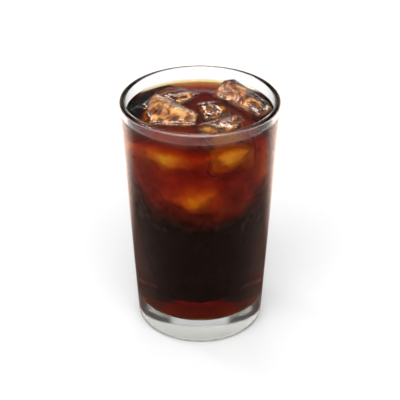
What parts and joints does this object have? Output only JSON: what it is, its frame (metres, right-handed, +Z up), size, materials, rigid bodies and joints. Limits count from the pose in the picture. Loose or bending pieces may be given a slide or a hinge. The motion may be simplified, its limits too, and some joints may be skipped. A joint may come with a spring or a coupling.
{
  "type": "iced coffee",
  "caption": "Tall tapered clear tumbler with a thick base, filled almost to the brim with dark iced coffee and melting blocks of ice.",
  "frame": {"origin": "middle of the foot, on the table", "axes": "+Z up along the axis of the tumbler, +X to the right and -Y towards the viewer of the shown side"},
  "size_m": [0.0838, 0.0838, 0.1325],
  "materials": {
    "clear_glass": "polished clear soda-lime glass, smooth inside and out",
    "coffee": "clear dark black coffee, amber where it is thin, nearly black in depth, wet mirror surface",
    "ice": "wet melting ice, clear skin with cracks and air bubbles inside"
  },
  "bodies": {
    "root": {"glass": "clear_glass", "coffee": "coffee", "ice_left": "ice", "ice_back": "ice", "ice_right": "ice", "ice_middle": "ice", "ice_front": "ice"}
  },
  "joints": []
}
